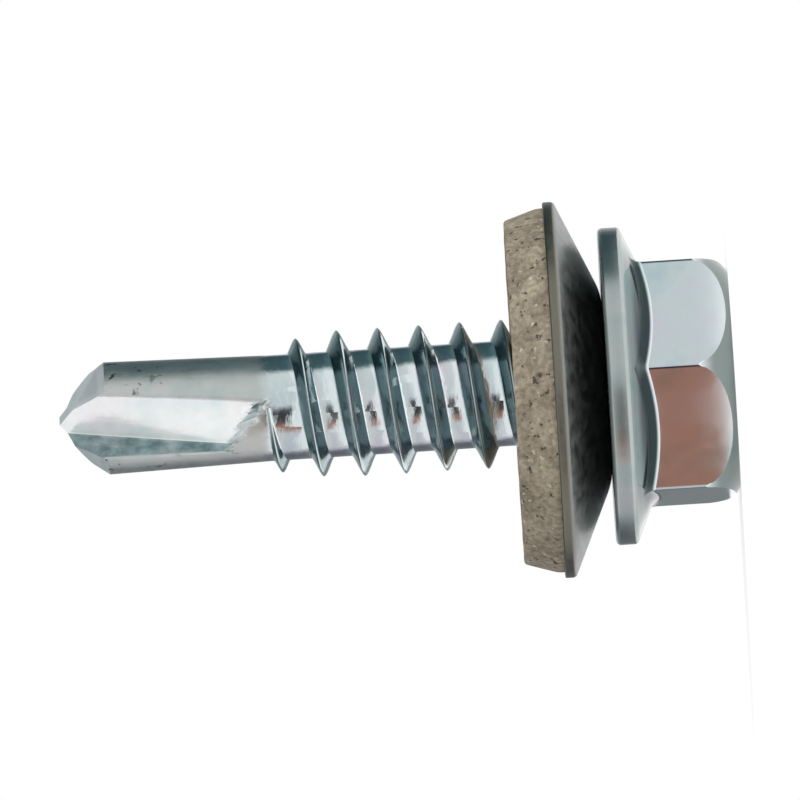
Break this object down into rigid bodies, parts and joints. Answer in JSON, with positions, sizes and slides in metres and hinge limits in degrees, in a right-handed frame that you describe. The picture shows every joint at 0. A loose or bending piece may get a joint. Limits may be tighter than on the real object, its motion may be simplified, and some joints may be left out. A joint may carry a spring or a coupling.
{
  "type": "self-drilling screw with bonded washer",
  "caption": "Hex washer head self-drilling screw with a coarse right-hand thread, a fluted drill point and a dished steel washer with a bonded rubber seal.",
  "frame": {"origin": "centre of the head's flat top face, on which the screw stands", "axes": "+Z runs along the screw's axis from the head to the drill point; two flats of the hexagon face +Y and -Y"},
  "size_m": [0.016, 0.016, 0.0287],
  "materials": {
    "zinc_steel": "bright zinc plate with a faint blue tint",
    "washer_steel": "galvanised, half bright",
    "seal_rubber": "matt grey-brown rubber with fine specks"
  },
  "bodies": {
    "screw": {"screw": "zinc_steel"},
    "washer": {"steel_washer": "washer_steel", "rubber_seal": "seal_rubber"}
  },
  "joints": [
    {"name": "washer_slide", "type": "slide", "parent": "screw", "child": "washer", "axis": [0, 0, 1], "range_m": [0, 0.0015]}
  ]
}
